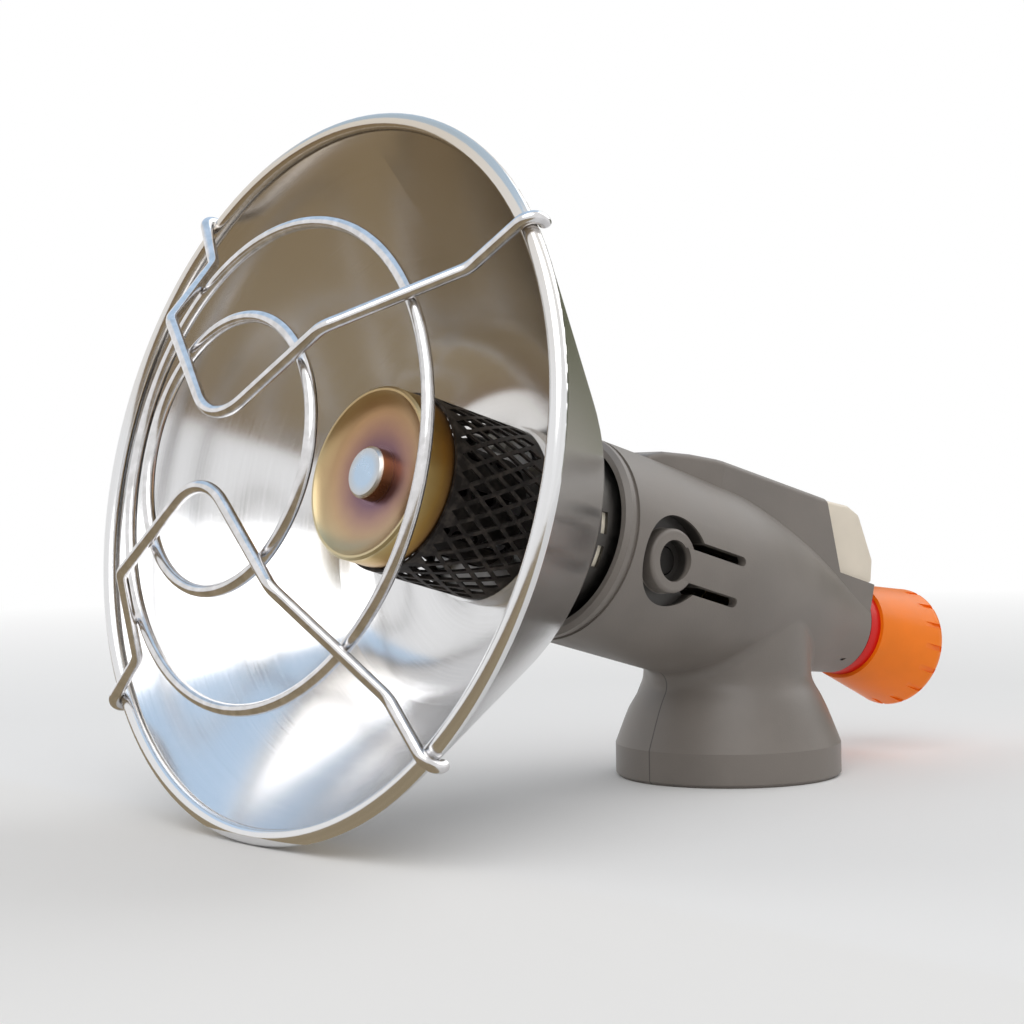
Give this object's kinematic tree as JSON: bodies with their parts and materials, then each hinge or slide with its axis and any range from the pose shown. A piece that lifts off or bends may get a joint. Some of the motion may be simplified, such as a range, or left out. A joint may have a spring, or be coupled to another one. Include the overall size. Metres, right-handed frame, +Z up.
{
  "type": "portable gas heater",
  "caption": "Torch-type portable gas heater with a polished reflector bowl, wire guard, mesh burner, ignition button and gas knob.",
  "frame": {"origin": "middle of the base collar's underside, on the cartridge socket's axis", "axes": "+Z up along the socket's axis, -Y towards the bowl's open front, +X to the side of the left housing half"},
  "size_m": [0.148, 0.2203, 0.1452],
  "materials": {
    "housing_plastic": "satin moulded",
    "button_plastic": "moulded",
    "knob_plastic": "moulded",
    "collar_plastic": "moulded",
    "igniter_plastic": "moulded",
    "lead_rubber": "smooth",
    "seal_rubber": "smooth",
    "ceramic": "glazed",
    "polished_steel": "polished",
    "wire_steel": "bright drawn",
    "plain_steel": "stamped",
    "screw_steel": "zinc plated",
    "mesh_steel": "heat blackened",
    "heat_tinted_steel": "heat tinted",
    "brass": "machined"
  },
  "bodies": {
    "torch": {"housing_left": "housing_plastic", "housing_right": "housing_plastic", "housing_screws": "screw_steel", "side_screws": "screw_steel", "base_screws": "screw_steel", "lock_ring": "plain_steel", "inlet_stem": "brass", "inlet_seal": "seal_rubber", "valve_body": "brass", "gland_nut": "brass", "jet": "brass", "mixing_tube": "plain_steel", "igniter_body": "igniter_plastic", "igniter_lead": "lead_rubber", "electrode_insulator": "ceramic", "electrode": "plain_steel", "bracket": "plain_steel", "reflector_bowl": "polished_steel", "burner_base": "plain_steel", "burner_collar": "polished_steel", "burner_core": "mesh_steel", "burner_mesh": "mesh_steel", "centre_rod": "plain_steel", "burner_cap": "heat_tinted_steel", "cap_nut": "heat_tinted_steel", "guard_upper_wire": "wire_steel", "guard_lower_wire": "wire_steel", "guard_outer_ring": "wire_steel", "guard_inner_ring": "wire_steel"},
    "knob": {"knob": "knob_plastic", "knob_collar": "collar_plastic", "spindle": "brass"},
    "button": {"trigger_button": "button_plastic", "igniter_plunger": "igniter_plastic"}
  },
  "joints": [
    {"name": "knob_turn", "type": "hinge", "parent": "torch", "child": "knob", "pos_m": [0, 0.05313, 0.02946], "axis": [0, 0.9659, -0.2588], "range_deg": [0, 360]},
    {"name": "button_press", "type": "slide", "parent": "torch", "child": "button", "axis": [0, -0.9659, 0.2588], "range_m": [0, 0.005], "stiffness_N_per_m": 1500}
  ]
}
